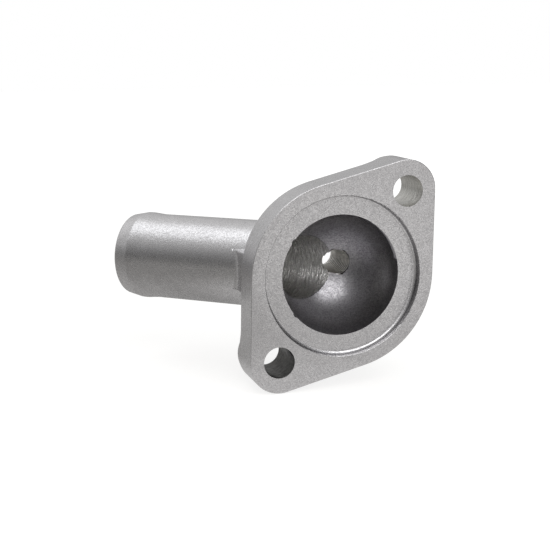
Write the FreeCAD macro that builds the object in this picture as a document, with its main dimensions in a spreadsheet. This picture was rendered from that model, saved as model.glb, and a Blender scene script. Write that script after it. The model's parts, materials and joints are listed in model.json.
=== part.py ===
import FreeCAD, Part
import math
import os
import Sketcher

# Thermostat housing: one aluminium casting, in millimetres.
# The mounting face lies in the XZ plane with its normal towards -Y, and the casting goes back to +Y.
# +Z is up, square to the plane that holds the chamber's axis and the axis of the hose spigot.
# The origin is the centre of the thermostat recess on the mounting face.

# The driving dimensions. Each one stands here once.
SIZES = [
    ("flange_radius", 31.75, "round middle of the flange's outline"),
    ("ear_radius", 10.05, "outline of each ear"),
    ("ear_inset", 0.3, "wall of the boss behind each ear, inside the ear's outline"),
    ("ear_spacing", 71.9, "between the centres of the two cast ears"),
    ("ear_line_angle", 51.7, "line of the cast ears, degrees from +X towards +Z"),
    ("bolt_spacing", 71.4, "between the two drilled bolt holes"),
    ("bolt_line_angle", 51.0, "line of the drilled holes, degrees from +X towards +Z"),
    ("bolt_hole_dia", 10.6, "plain through holes"),
    ("plate_thickness", 14.0, "flange plate"),
    ("ear_rise", 5.2, "how far the ear bosses stand behind the plate"),
    ("ear_blend", 4.0, "concave blend at the foot of each ear boss"),
    ("cast_round", 0.9, "rounding of the rough cast edges"),
    ("face_break", 0.25, "broken edge round the machined mounting face"),
    ("recess_dia", 54.0, "thermostat recess"),
    ("recess_depth", 3.1, "thermostat recess"),
    ("recess_break", 0.25, "turned edge break at the recess mouth"),
    ("recess_foot", 1.2, "tool radius at the foot of the recess wall"),
    ("chamber_dia", 40.9, "opening and domed chamber behind the recess"),
    ("chamber_straight", 3.15, "straight wall between the seat and the dome"),
    ("dome_wall", 4.55, "wall of the dome"),
    ("dome_blend", 3.0, "concave blend between dome and plate"),
    ("spigot_depth", 15.3, "depth at which the spigot's axis meets the chamber's"),
    ("spigot_tilt", 42.55, "degrees between the spigot's axis and the mounting face"),
    ("spigot_dia", 30.55, "hose spigot"),
    ("spigot_length", 78.6, "from the chamber's axis to the spigot's end"),
    ("spigot_blend", 2.0, "concave blend between spigot and dome"),
    ("bead_dia", 31.4, "low bead that holds the hose"),
    ("bead_ramp", 4.6, "length of the bead's inner slope"),
    ("bead_land", 1.8, "length of the bead's crest"),
    ("lead_length", 5.6, "length of the tapered lead-in"),
    ("lead_dia", 29.2, "outside of the spigot at its end"),
    ("bore_dia", 22.2, "drilled through the spigot into the chamber"),
    ("bore_break", 0.6, "edge break at the spigot's mouth"),
    ("gusset_thickness", 14.0, "solid gusset between spigot and flange"),
    ("gusset_setback", 1.2, "gusset's outer face behind the flange's edge"),
    ("gusset_blend", 3.2, "concave blend between the gusset's outer face and the spigot"),
    ("sensor_x", 6.2, "tapped hole, from the chamber's axis"),
    ("sensor_z", 0.5, "tapped hole, from the chamber's axis"),
    ("sensor_boss_dia", 18.0, "boss of the tapped hole"),
    ("sensor_boss_end", 45.5, "depth of the boss's end face"),
    ("tap_dia", 8.5, "minor diameter of the tapped hole"),
    ("tap_countersink", 0.8, "countersink at the outer end of the tapped hole"),
    ("sink", 0.05, "how deep a blend runs into the form below it"),
]

# What follows from them.
WORKED = [
    ("bolt_offset", "Sizes.bolt_spacing / 2"),
    ("ear_offset", "Sizes.ear_spacing / 2"),
    ("ear_x", "Sizes.ear_spacing / 2 * cos(Sizes.ear_line_angle)"),
    ("ear_z", "Sizes.ear_spacing / 2 * sin(Sizes.ear_line_angle)"),
    ("ear_wall", "Sizes.ear_radius - Sizes.ear_inset"),
    ("ear_back", "Sizes.plate_thickness + Sizes.ear_rise"),
    ("ear_foot", "min(Sizes.ear_blend; 0.75 * Sizes.ear_rise)"),
    ("ear_edge", "min(Sizes.cast_round; 0.2 * Sizes.ear_rise)"),
    ("blank_radius", "Sizes.ear_spacing / 2 + 2 * Sizes.ear_radius"),
    ("trim_radius", "Sizes.ear_spacing + 4 * Sizes.ear_radius"),
    ("blend_root", "Sizes.plate_thickness - Sizes.sink"),
    ("seat_radius", "Sizes.recess_dia / 2 - Sizes.recess_foot"),
    ("recess_radius", "Sizes.recess_dia / 2"),
    ("chamber_radius", "Sizes.chamber_dia / 2"),
    ("dome_centre", "Sizes.recess_depth + Sizes.chamber_straight"),
    ("dome_radius", "Sizes.chamber_dia / 2 + Sizes.dome_wall"),
    ("spigot_radius", "Sizes.spigot_dia / 2"),
    ("bead_radius", "Sizes.bead_dia / 2"),
    ("lead_radius", "Sizes.lead_dia / 2"),
    ("bore_radius", "Sizes.bore_dia / 2"),
    ("lead_place", "Sizes.spigot_length - Sizes.lead_length"),
    ("crest_place", "Sizes.spigot_length - Sizes.lead_length - Sizes.bead_land"),
    ("ramp_place", "Sizes.spigot_length - Sizes.lead_length - Sizes.bead_land - Sizes.bead_ramp"),
    ("gusset_face", "Sizes.flange_radius - Sizes.gusset_setback"),
    ("gusset_rise", "(Sizes.flange_radius - Sizes.gusset_setback) * tan(Sizes.spigot_tilt)"),
]

# How close, in millimetres, a sampled point of an edge lies to the place that it is looked for.
NEAR = 1e-3
SAMPLES = 6
# The numbers that a sketch gives to an edge's points and to its own axes.
START, END, CENTRE = range(1, 4)
H_AXIS, V_AXIS = range(-1, -3, -1)
ORIGIN = (H_AXIS, START)


def make_sheets(doc):
    """Write the driving dimensions and what follows from them into two spreadsheets."""
    sizes = doc.addObject("Spreadsheet::Sheet", "Sizes")
    for row, (name, number, note) in enumerate(SIZES, start=1):
        sizes.set(f"A{row}", name)
        sizes.set(f"B{row}", str(number))
        sizes.setAlias(f"B{row}", name)
        sizes.set(f"C{row}", note)
    doc.recompute()
    worked = doc.addObject("Spreadsheet::Sheet", "Worked")
    for row, (name, formula) in enumerate(WORKED, start=1):
        worked.set(f"A{row}", name)
        worked.set(f"B{row}", f"={formula}")
        worked.setAlias(f"B{row}", name)
    doc.recompute()
    return sizes, worked


def values(sizes, worked):
    """Read every size back from the sheets, for the first drawing of each sketch."""
    table = {name: float(sizes.get(name)) for name, _, _ in SIZES}
    table.update({name: float(worked.get(name)) for name, _ in WORKED})
    return table


def attach(body, role, name):
    """Add a sketch to one of the body's own origin planes."""
    plane = next(item for item in body.Origin.OriginFeatures if item.Role == role)
    sketch = body.newObject("Sketcher::SketchObject", name)
    sketch.AttachmentSupport = [(plane, "")]
    sketch.MapMode = "FlatFace"
    return sketch


def line(sketch, start, end):
    """Add a straight edge."""
    return sketch.addGeometry(Part.LineSegment(FreeCAD.Vector(*start, 0), FreeCAD.Vector(*end, 0)))


def circle(sketch, centre, radius):
    """Add a full circle."""
    return sketch.addGeometry(Part.Circle(FreeCAD.Vector(*centre, 0), FreeCAD.Vector(0, 0, 1), radius))


def arc(sketch, centre, radius, start, end):
    """Add an arc, counter-clockwise between two angles in degrees."""
    whole = Part.Circle(FreeCAD.Vector(*centre, 0), FreeCAD.Vector(0, 0, 1), radius)
    return sketch.addGeometry(Part.ArcOfCircle(whole, math.radians(start), math.radians(end)))


def rule(sketch, kind, *arguments):
    """Add a geometric constraint."""
    sketch.addConstraint(Sketcher.Constraint(kind, *arguments))


def bind(sketch, name, expression, kind, *arguments):
    """Add a dimension and tie it to the sheets."""
    index = sketch.addConstraint(Sketcher.Constraint(kind, *arguments))
    sketch.renameConstraint(index, name)
    sketch.setExpression(f"Constraints.{name}", expression)


def edges_where(feature, wanted):
    """Name the edges of a feature whose sampled points all pass a test."""
    names = []
    for number, edge in enumerate(feature.Shape.Edges, start=1):
        if edge.Degenerated:
            continue
        first, last = edge.ParameterRange
        points = [edge.valueAt(first + (last - first) * step / SAMPLES) for step in range(SAMPLES + 1)]
        if all(wanted(point) for point in points):
            names.append(f"Edge{number}")
    return names


def fillet(body, feature, wanted, radius, name):
    """Round the edges of a feature that pass a test."""
    rounding = body.newObject("PartDesign::Fillet", name)
    rounding.Base = (feature, edges_where(feature, wanted))
    rounding.setExpression("Radius", radius)
    body.Document.recompute()


def revolve(body, kind, sketch, axis, name):
    """Turn a profile about an axis of its sketch, adding or removing material."""
    feature = body.newObject(f"PartDesign::{kind}", name)
    feature.Profile = sketch
    feature.ReferenceAxis = (sketch, [axis])
    feature.Angle = 360.0
    return feature


def draw_outline(sketch, size):
    """Draw the flange's outline: two middle arcs, two ear arcs and the tangents between them."""
    half, middle, ear = size["ear_offset"], size["flange_radius"], size["ear_radius"]
    lean = math.degrees(math.acos((middle - ear) / half))
    across, up = math.cos(math.radians(lean)), math.sin(math.radians(lean))
    top = arc(sketch, (0, 0), middle, lean, 180 - lean)
    bottom = arc(sketch, (0, 0), middle, 180 + lean, 360 - lean)
    right = arc(sketch, (half, 0), ear, -lean, lean)
    left = arc(sketch, (-half, 0), ear, 180 - lean, 180 + lean)
    tips = [(half + ear * across, ear * up), (middle * across, middle * up)]
    ring = [
        (right, top, tips[0], tips[1]),
        (top, left, (-tips[1][0], tips[1][1]), (-tips[0][0], tips[0][1])),
        (left, bottom, (-tips[0][0], -tips[0][1]), (-tips[1][0], -tips[1][1])),
        (bottom, right, (tips[1][0], -tips[1][1]), (tips[0][0], -tips[0][1])),
    ]
    for before, after, start, end in ring:
        side = line(sketch, start, end)
        rule(sketch, "Tangent", before, END, side, START)
        rule(sketch, "Tangent", side, END, after, START)
    rule(sketch, "Coincident", top, CENTRE, *ORIGIN)
    rule(sketch, "Coincident", bottom, CENTRE, *ORIGIN)
    rule(sketch, "PointOnObject", right, CENTRE, H_AXIS)
    rule(sketch, "Symmetric", right, CENTRE, left, CENTRE, *ORIGIN)
    rule(sketch, "Equal", top, bottom)
    rule(sketch, "Equal", right, left)
    bind(sketch, "middle", "Sizes.flange_radius", "Radius", top, middle)
    bind(sketch, "ear", "Sizes.ear_radius", "Radius", right, ear)
    bind(sketch, "offset", "Worked.ear_offset", "DistanceX", *ORIGIN, right, CENTRE, half)


def turn(sketch, size, angle):
    """Turn a sketch on the mounting face so that its horizontal axis lies along a named line."""
    sketch.AttachmentOffset = FreeCAD.Placement(
        FreeCAD.Vector(0, 0, 0), FreeCAD.Rotation(FreeCAD.Vector(0, 0, 1), size[angle])
    )
    sketch.setExpression("AttachmentOffset.Rotation.Angle", f"Sizes.{angle}")


def flange_blank(body, size):
    """Pad the round blank that the flange's outline is cut from."""
    sketch = attach(body, "XZ_Plane", "BlankCircle")
    blank = circle(sketch, (0, 0), size["blank_radius"])
    rule(sketch, "Coincident", blank, CENTRE, *ORIGIN)
    bind(sketch, "blank", "Worked.blank_radius", "Radius", blank, size["blank_radius"])
    pad = body.newObject("PartDesign::Pad", "FlangeBlank")
    pad.Profile = sketch
    pad.Reversed = True
    pad.setExpression("Length", "Sizes.plate_thickness")


def ear_bosses(body, size):
    """Turn one flared boss about its bolt hole's axis and repeat it for the other ear."""
    sketch = attach(body, "XY_Plane", "EarProfile")
    sketch.AttachmentOffset = FreeCAD.Placement(
        FreeCAD.Vector(size["ear_x"], 0, size["ear_z"]), FreeCAD.Rotation()
    )
    sketch.setExpression("AttachmentOffset.Base.x", "Worked.ear_x")
    sketch.setExpression("AttachmentOffset.Base.z", "Worked.ear_z")
    wall, foot, edge = size["ear_wall"], size["ear_foot"], size["ear_edge"]
    root, back = size["blend_root"], size["ear_back"]
    base = line(sketch, (0, 0), (wall + foot, 0))
    skirt = line(sketch, (wall + foot, 0), (wall + foot, root))
    blend = arc(sketch, (wall + foot, root + foot), foot, 180, 270)
    side = line(sketch, (wall, root + foot), (wall, back - edge))
    corner = arc(sketch, (wall - edge, back - edge), edge, 0, 90)
    top = line(sketch, (wall - edge, back), (0, back))
    axis = line(sketch, (0, back), (0, 0))
    rule(sketch, "Coincident", base, START, *ORIGIN)
    rule(sketch, "Horizontal", base)
    rule(sketch, "Coincident", base, END, skirt, START)
    rule(sketch, "Vertical", skirt)
    rule(sketch, "Coincident", skirt, END, blend, END)
    rule(sketch, "Vertical", blend, CENTRE, blend, END)
    rule(sketch, "Tangent", blend, START, side, START)
    rule(sketch, "Vertical", side)
    rule(sketch, "Tangent", side, END, corner, START)
    rule(sketch, "Tangent", corner, END, top, START)
    rule(sketch, "Horizontal", top)
    rule(sketch, "Coincident", top, END, axis, START)
    rule(sketch, "Coincident", axis, END, *ORIGIN)
    rule(sketch, "PointOnObject", axis, START, V_AXIS)
    bind(sketch, "wall", "Worked.ear_wall", "DistanceX", *ORIGIN, side, START, wall)
    bind(sketch, "foot", "Worked.ear_foot", "Radius", blend, foot)
    bind(sketch, "edge", "Worked.ear_edge", "Radius", corner, edge)
    bind(sketch, "root", "Worked.blend_root", "DistanceY", *ORIGIN, skirt, END, root)
    bind(sketch, "back", "Worked.ear_back", "DistanceY", *ORIGIN, axis, START, back)
    boss = revolve(body, "Revolution", sketch, "V_Axis", "EarBoss")
    pair = body.newObject("PartDesign::PolarPattern", "EarBosses")
    pair.Originals = [boss]
    pair.Axis = (next(item for item in body.Origin.OriginFeatures if item.Role == "Y_Axis"), [""])
    pair.Angle = 360.0
    pair.Occurrences = 2
    body.Tip = pair


def trim_to_outline(body, size):
    """Cut everything outside the flange's outline away, round the edge behind and break the one in front."""
    sketch = attach(body, "XZ_Plane", "Outline")
    turn(sketch, size, "ear_line_angle")
    draw_outline(sketch, size)
    beyond = circle(sketch, (0, 0), size["trim_radius"])
    rule(sketch, "Coincident", beyond, CENTRE, *ORIGIN)
    bind(sketch, "beyond", "Worked.trim_radius", "Radius", beyond, size["trim_radius"])
    trim = body.newObject("PartDesign::Pocket", "TrimToOutline")
    trim.Profile = sketch
    trim.Type = "ThroughAll"
    body.Document.recompute()

    def on_back_edge(point):
        flat = Part.Vertex(point.x, 0, point.z)
        on_wall = sketch.Shape.distToShape(flat)[0] < NEAR
        return on_wall and point.y > size["plate_thickness"] / 2

    fillet(body, trim, on_back_edge, "Worked.ear_edge", "BackEdgeRounding")
    fillet(body, body.Tip, lambda point: point.y < NEAR, "Sizes.face_break", "FaceBreak")


def dome(body, size):
    """Turn the outside of the domed chamber, with its blend into the plate, about the Y axis."""
    sketch = attach(body, "XY_Plane", "DomeProfile")
    radius, middle = size["dome_radius"], size["dome_centre"]
    blend, root = size["dome_blend"], size["blend_root"]
    rise = root + blend - middle
    reach = math.sqrt((radius + blend) ** 2 - rise**2)
    lean = math.degrees(math.atan2(rise, reach))
    base = line(sketch, (0, middle), (reach, middle))
    skirt = line(sketch, (reach, middle), (reach, root))
    foot = arc(sketch, (reach, root + blend), blend, 180 + lean, 270)
    shell = arc(sketch, (0, middle), radius, lean, 90)
    axis = line(sketch, (0, middle + radius), (0, middle))
    rule(sketch, "PointOnObject", base, START, V_AXIS)
    rule(sketch, "Horizontal", base)
    rule(sketch, "Coincident", base, END, skirt, START)
    rule(sketch, "Vertical", skirt)
    rule(sketch, "Coincident", skirt, END, foot, END)
    rule(sketch, "Vertical", foot, CENTRE, foot, END)
    rule(sketch, "Tangent", foot, START, shell, START)
    rule(sketch, "Coincident", shell, CENTRE, base, START)
    rule(sketch, "Coincident", shell, END, axis, START)
    rule(sketch, "Coincident", axis, END, base, START)
    rule(sketch, "Vertical", axis)
    bind(sketch, "middle", "Worked.dome_centre", "DistanceY", *ORIGIN, base, START, middle)
    bind(sketch, "shell", "Worked.dome_radius", "Radius", shell, radius)
    bind(sketch, "foot", "Sizes.dome_blend", "Radius", foot, blend)
    bind(sketch, "root", "Worked.blend_root", "DistanceY", *ORIGIN, skirt, END, root)
    revolve(body, "Revolution", sketch, "V_Axis", "Dome")


def along_spigot(body, size, name):
    """Add a sketch whose horizontal axis is the spigot's axis, pointing out of its mouth."""
    sketch = attach(body, "XY_Plane", name)
    sketch.AttachmentOffset = FreeCAD.Placement(
        FreeCAD.Vector(0, size["spigot_depth"], 0),
        FreeCAD.Rotation(FreeCAD.Vector(0, 0, 1), 180 - size["spigot_tilt"]),
    )
    sketch.setExpression("AttachmentOffset.Base.y", "Sizes.spigot_depth")
    sketch.setExpression("AttachmentOffset.Rotation.Angle", "180 - Sizes.spigot_tilt")
    return sketch


def draw_polygon(sketch, corners):
    """Draw a closed run of straight edges and join them."""
    edges = [line(sketch, start, end) for start, end in zip(corners, corners[1:] + corners[:1])]
    for before, after in zip(edges, edges[1:] + edges[:1]):
        rule(sketch, "Coincident", before, END, after, START)
    return edges


def spigot(body, size):
    """Turn the outside of the hose spigot: plain tube, low bead and tapered lead-in."""
    sketch = along_spigot(body, size, "SpigotProfile")
    tube, bead, lead = size["spigot_radius"], size["bead_radius"], size["lead_radius"]
    ramp_at, crest_at = size["ramp_place"], size["crest_place"]
    lead_at, end_at = size["lead_place"], size["spigot_length"]
    corners = [(0, 0), (end_at, 0), (end_at, lead), (lead_at, bead), (crest_at, bead), (ramp_at, tube)]
    axis, face, taper, land, ramp, side, root = draw_polygon(sketch, corners + [(0, tube)])
    rule(sketch, "Coincident", axis, START, *ORIGIN)
    rule(sketch, "Horizontal", axis)
    rule(sketch, "Vertical", face)
    rule(sketch, "Horizontal", land)
    rule(sketch, "Horizontal", side)
    rule(sketch, "Vertical", root)
    bind(sketch, "reach", "Sizes.spigot_length", "DistanceX", *ORIGIN, axis, END, end_at)
    bind(sketch, "taper", "Worked.lead_place", "DistanceX", *ORIGIN, land, START, lead_at)
    bind(sketch, "lead", "Worked.lead_radius", "DistanceY", *ORIGIN, taper, START, lead)
    bind(sketch, "crest", "Worked.crest_place", "DistanceX", *ORIGIN, ramp, START, crest_at)
    bind(sketch, "bead", "Worked.bead_radius", "DistanceY", *ORIGIN, ramp, START, bead)
    bind(sketch, "ramp", "Worked.ramp_place", "DistanceX", *ORIGIN, side, START, ramp_at)
    bind(sketch, "tube", "Worked.spigot_radius", "DistanceY", *ORIGIN, side, START, tube)
    tube_form = revolve(body, "Revolution", sketch, "H_Axis", "Spigot")
    body.Document.recompute()
    fillet(body, tube_form, spigot_root(size), "Sizes.spigot_blend", "SpigotBlend")


def spigot_root(size):
    """Test for points on the plain tube's surface beside the dome."""
    tilt = math.radians(size["spigot_tilt"])
    along = FreeCAD.Vector(-math.cos(tilt), math.sin(tilt), 0)
    start = FreeCAD.Vector(0, size["spigot_depth"], 0)

    def test(point):
        reach = point.sub(start)
        place = reach.dot(along)
        away = reach.sub(along * place).Length
        return abs(away - size["spigot_radius"]) < NEAR and place < size["dome_radius"]

    return test


def gusset(body, size):
    """Pad the solid gusset that fills the sharp corner between the spigot and the flange."""
    sketch = attach(body, "XY_Plane", "GussetProfile")
    face, root, depth = size["gusset_face"], size["blend_root"], size["spigot_depth"]
    corners = [(0, root), (0, depth), (-face, depth + size["gusset_rise"]), (-face, root)]
    inner, slope, outer, base = draw_polygon(sketch, corners)
    rule(sketch, "PointOnObject", inner, START, V_AXIS)
    rule(sketch, "PointOnObject", inner, END, V_AXIS)
    rule(sketch, "Vertical", outer)
    rule(sketch, "Horizontal", base)
    bind(sketch, "root", "Worked.blend_root", "DistanceY", *ORIGIN, inner, START, root)
    bind(sketch, "depth", "Sizes.spigot_depth", "DistanceY", *ORIGIN, slope, START, depth)
    bind(sketch, "face", "Worked.gusset_face", "DistanceX", outer, END, *ORIGIN, face)
    bind(sketch, "rise", "Worked.gusset_rise", "DistanceY", slope, START, slope, END, size["gusset_rise"])
    pad = body.newObject("PartDesign::Pad", "Gusset")
    pad.Profile = sketch
    pad.SideType = "Symmetric"
    pad.setExpression("Length", "Sizes.gusset_thickness")
    body.Document.recompute()

    def on_outer_corner(point):
        return abs(point.x + face) < NEAR and point.y > depth

    fillet(body, pad, on_outer_corner, "Sizes.gusset_blend", "GussetBlend")


def sensor_boss(body, size):
    """Pad the round boss that carries the tapped hole on the back of the dome."""
    sketch = attach(body, "XZ_Plane", "SensorBossCircle")
    place = (size["sensor_x"], size["sensor_z"])
    boss = circle(sketch, place, size["sensor_boss_dia"] / 2)
    bind(sketch, "across", "Sizes.sensor_x", "DistanceX", *ORIGIN, boss, CENTRE, place[0])
    bind(sketch, "up", "Sizes.sensor_z", "DistanceY", *ORIGIN, boss, CENTRE, place[1])
    bind(sketch, "dia", "Sizes.sensor_boss_dia", "Diameter", boss, size["sensor_boss_dia"])
    pad = body.newObject("PartDesign::Pad", "SensorBoss")
    pad.Profile = sketch
    pad.Reversed = True
    pad.setExpression("Length", "Sizes.sensor_boss_end")
    body.Document.recompute()

    def on_end_rim(point):
        return point.y > size["sensor_boss_end"] - NEAR

    fillet(body, pad, on_end_rim, "Sizes.cast_round", "SensorBossRounding")


def chamber(body, size):
    """Turn out the thermostat recess and the domed chamber behind it."""
    sketch = attach(body, "XY_Plane", "ChamberProfile")
    wall, seat, depth = size["recess_radius"], size["seat_radius"], size["recess_depth"]
    foot, ease = size["recess_foot"], size["recess_break"]
    opening, middle = size["chamber_radius"], size["dome_centre"]
    mouth = line(sketch, (0, 0), (wall + ease, 0))
    bevel = line(sketch, (wall + ease, 0), (wall, ease))
    side = line(sketch, (wall, ease), (wall, depth - foot))
    corner = arc(sketch, (seat, depth - foot), foot, 0, 90)
    floor = line(sketch, (seat, depth), (opening, depth))
    neck = line(sketch, (opening, depth), (opening, middle))
    shell = arc(sketch, (0, middle), opening, 0, 90)
    axis = line(sketch, (0, middle + opening), (0, 0))
    rule(sketch, "Coincident", mouth, START, *ORIGIN)
    rule(sketch, "Horizontal", mouth)
    rule(sketch, "Coincident", mouth, END, bevel, START)
    rule(sketch, "Coincident", bevel, END, side, START)
    rule(sketch, "Vertical", side)
    rule(sketch, "Tangent", side, END, corner, START)
    rule(sketch, "Tangent", corner, END, floor, START)
    rule(sketch, "Horizontal", floor)
    rule(sketch, "Coincident", floor, END, neck, START)
    rule(sketch, "Vertical", neck)
    rule(sketch, "Tangent", neck, END, shell, START)
    rule(sketch, "Coincident", shell, END, axis, START)
    rule(sketch, "Coincident", axis, END, *ORIGIN)
    rule(sketch, "PointOnObject", shell, CENTRE, V_AXIS)
    rule(sketch, "PointOnObject", axis, START, V_AXIS)
    bind(sketch, "wall", "Worked.recess_radius", "DistanceX", *ORIGIN, side, START, wall)
    bind(sketch, "ease_out", "Sizes.recess_break", "DistanceX", side, START, mouth, END, ease)
    bind(sketch, "ease_in", "Sizes.recess_break", "DistanceY", *ORIGIN, side, START, ease)
    bind(sketch, "foot", "Sizes.recess_foot", "Radius", corner, foot)
    bind(sketch, "depth", "Sizes.recess_depth", "DistanceY", *ORIGIN, floor, END, depth)
    bind(sketch, "opening", "Worked.chamber_radius", "DistanceX", *ORIGIN, floor, END, opening)
    bind(sketch, "middle", "Worked.dome_centre", "DistanceY", *ORIGIN, neck, END, middle)
    revolve(body, "Groove", sketch, "V_Axis", "Chamber")


def spigot_bore(body, size):
    """Drill the spigot through to the chamber's axis, with an edge break at its mouth."""
    sketch = along_spigot(body, size, "BoreProfile")
    radius, ease, end_at = size["bore_radius"], size["bore_break"], size["spigot_length"]
    corners = [(0, 0), (end_at, 0), (end_at, radius + ease), (end_at - ease, radius), (0, radius)]
    axis, face, bevel, side, root = draw_polygon(sketch, corners)
    rule(sketch, "Coincident", axis, START, *ORIGIN)
    rule(sketch, "Horizontal", axis)
    rule(sketch, "Vertical", face)
    rule(sketch, "Horizontal", side)
    rule(sketch, "Vertical", root)
    bind(sketch, "reach", "Sizes.spigot_length", "DistanceX", *ORIGIN, axis, END, end_at)
    bind(sketch, "radius", "Worked.bore_radius", "DistanceY", *ORIGIN, side, START, radius)
    bind(sketch, "ease_out", "Sizes.bore_break", "DistanceY", side, START, bevel, START, ease)
    bind(sketch, "ease_in", "Sizes.bore_break", "DistanceX", side, START, bevel, START, ease)
    revolve(body, "Groove", sketch, "H_Axis", "SpigotBore")


def bolt_holes(body, size):
    """Drill the two bolt holes."""
    sketch = attach(body, "XZ_Plane", "BoltCircles")
    turn(sketch, size, "bolt_line_angle")
    half = size["bolt_offset"]
    right = circle(sketch, (half, 0), size["bolt_hole_dia"] / 2)
    left = circle(sketch, (-half, 0), size["bolt_hole_dia"] / 2)
    rule(sketch, "PointOnObject", right, CENTRE, H_AXIS)
    rule(sketch, "Symmetric", right, CENTRE, left, CENTRE, *ORIGIN)
    rule(sketch, "Equal", right, left)
    bind(sketch, "offset", "Worked.bolt_offset", "DistanceX", *ORIGIN, right, CENTRE, half)
    bind(sketch, "dia", "Sizes.bolt_hole_dia", "Diameter", right, size["bolt_hole_dia"])
    holes = body.newObject("PartDesign::Pocket", "BoltHoles")
    holes.Profile = sketch
    holes.Type = "ThroughAll"


def tapped_hole(body, size):
    """Drill the sensor's hole at its minor diameter and countersink its outer end."""
    sketch = attach(body, "XZ_Plane", "TapCircle")
    place = (size["sensor_x"], size["sensor_z"])
    drill = circle(sketch, place, size["tap_dia"] / 2)
    bind(sketch, "across", "Sizes.sensor_x", "DistanceX", *ORIGIN, drill, CENTRE, place[0])
    bind(sketch, "up", "Sizes.sensor_z", "DistanceY", *ORIGIN, drill, CENTRE, place[1])
    bind(sketch, "dia", "Sizes.tap_dia", "Diameter", drill, size["tap_dia"])
    hole = body.newObject("PartDesign::Pocket", "TappedHole")
    hole.Profile = sketch
    hole.Type = "ThroughAll"
    body.Document.recompute()

    def on_outer_rim(point):
        away = math.hypot(point.x - place[0], point.z - place[1])
        return abs(away - size["tap_dia"] / 2) < NEAR and point.y > size["sensor_boss_end"] - NEAR

    countersink = body.newObject("PartDesign::Chamfer", "Countersink")
    countersink.Base = (hole, edges_where(hole, on_outer_rim))
    countersink.setExpression("Size", "Sizes.tap_countersink")


def check(doc, body):
    """Stop if any object failed, a cut took nothing away or the casting isn't one sound solid."""
    for item in doc.Objects:
        if "Invalid" in item.State or "Error" in item.State:
            raise RuntimeError(f"{item.Label} did not compute: {item.State}")
        is_cut = item.TypeId in ("PartDesign::Pocket", "PartDesign::Groove")
        if is_cut and item.Shape.Volume > item.BaseFeature.Shape.Volume - NEAR:
            raise RuntimeError(f"{item.Label} cut nothing away")
    shape = body.Shape
    if shape.isNull() or not shape.isValid() or len(shape.Solids) != 1:
        raise RuntimeError("the housing isn't one valid solid")
    print(body.Label, "volume", round(shape.Volume, 1), "mm3, area", round(shape.Area, 1), "mm2")


def main():
    doc = FreeCAD.newDocument("ThermostatHousing")
    size = values(*make_sheets(doc))
    body = doc.addObject("PartDesign::Body", "Housing")
    body.Label = "housing"
    flange_blank(body, size)
    ear_bosses(body, size)
    trim_to_outline(body, size)
    dome(body, size)
    spigot(body, size)
    gusset(body, size)
    sensor_boss(body, size)
    chamber(body, size)
    spigot_bore(body, size)
    bolt_holes(body, size)
    tapped_hole(body, size)
    doc.recompute()
    check(doc, body)
    os.makedirs("parts", exist_ok=True)
    body.Shape.exportStep(f"parts/{body.Label}.step")


main()
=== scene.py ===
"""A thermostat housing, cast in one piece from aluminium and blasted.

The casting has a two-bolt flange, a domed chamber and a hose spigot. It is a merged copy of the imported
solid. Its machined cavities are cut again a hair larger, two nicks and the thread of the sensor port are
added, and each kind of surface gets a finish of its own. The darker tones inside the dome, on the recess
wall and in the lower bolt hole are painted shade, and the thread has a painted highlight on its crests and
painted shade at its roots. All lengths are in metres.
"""

from __future__ import annotations

import json
import logging
import math
from dataclasses import dataclass, field
from enum import Enum

import bpy
from mathutils import Matrix, Vector

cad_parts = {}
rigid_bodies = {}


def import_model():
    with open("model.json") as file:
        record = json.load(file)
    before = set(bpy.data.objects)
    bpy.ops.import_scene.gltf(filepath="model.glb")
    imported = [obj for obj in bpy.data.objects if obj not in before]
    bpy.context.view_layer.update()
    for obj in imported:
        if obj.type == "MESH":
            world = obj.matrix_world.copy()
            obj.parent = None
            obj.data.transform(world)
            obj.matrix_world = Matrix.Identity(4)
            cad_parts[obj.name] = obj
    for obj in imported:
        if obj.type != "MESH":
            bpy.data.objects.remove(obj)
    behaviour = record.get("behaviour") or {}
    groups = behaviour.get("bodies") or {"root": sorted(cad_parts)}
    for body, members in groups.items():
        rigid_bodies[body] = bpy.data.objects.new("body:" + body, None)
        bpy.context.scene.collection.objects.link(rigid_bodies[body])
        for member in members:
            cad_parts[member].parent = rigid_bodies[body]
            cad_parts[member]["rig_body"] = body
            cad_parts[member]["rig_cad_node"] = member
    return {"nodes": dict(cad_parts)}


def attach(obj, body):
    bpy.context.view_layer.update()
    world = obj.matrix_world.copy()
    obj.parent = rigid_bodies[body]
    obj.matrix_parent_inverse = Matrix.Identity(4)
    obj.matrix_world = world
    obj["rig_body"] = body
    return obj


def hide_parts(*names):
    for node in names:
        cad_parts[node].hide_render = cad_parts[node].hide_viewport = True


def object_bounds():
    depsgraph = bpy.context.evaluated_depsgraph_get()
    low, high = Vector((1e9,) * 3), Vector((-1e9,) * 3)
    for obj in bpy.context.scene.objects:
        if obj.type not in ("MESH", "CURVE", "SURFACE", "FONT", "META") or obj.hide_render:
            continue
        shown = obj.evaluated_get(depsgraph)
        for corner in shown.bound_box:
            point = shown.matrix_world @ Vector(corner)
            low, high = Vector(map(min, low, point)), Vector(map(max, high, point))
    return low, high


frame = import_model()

CAD_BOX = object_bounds()
MM = 0.001
# The turn that lays the Z axis of a form along the Y axis of the casting.
LAID_BACK = (math.radians(-90), 0.0, 0.0)
WHOLE = (0.0, 1.0)
Triple = tuple[float, float, float]
Pair = tuple[float, float]
log = logging.getLogger("thermostat_housing")


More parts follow.
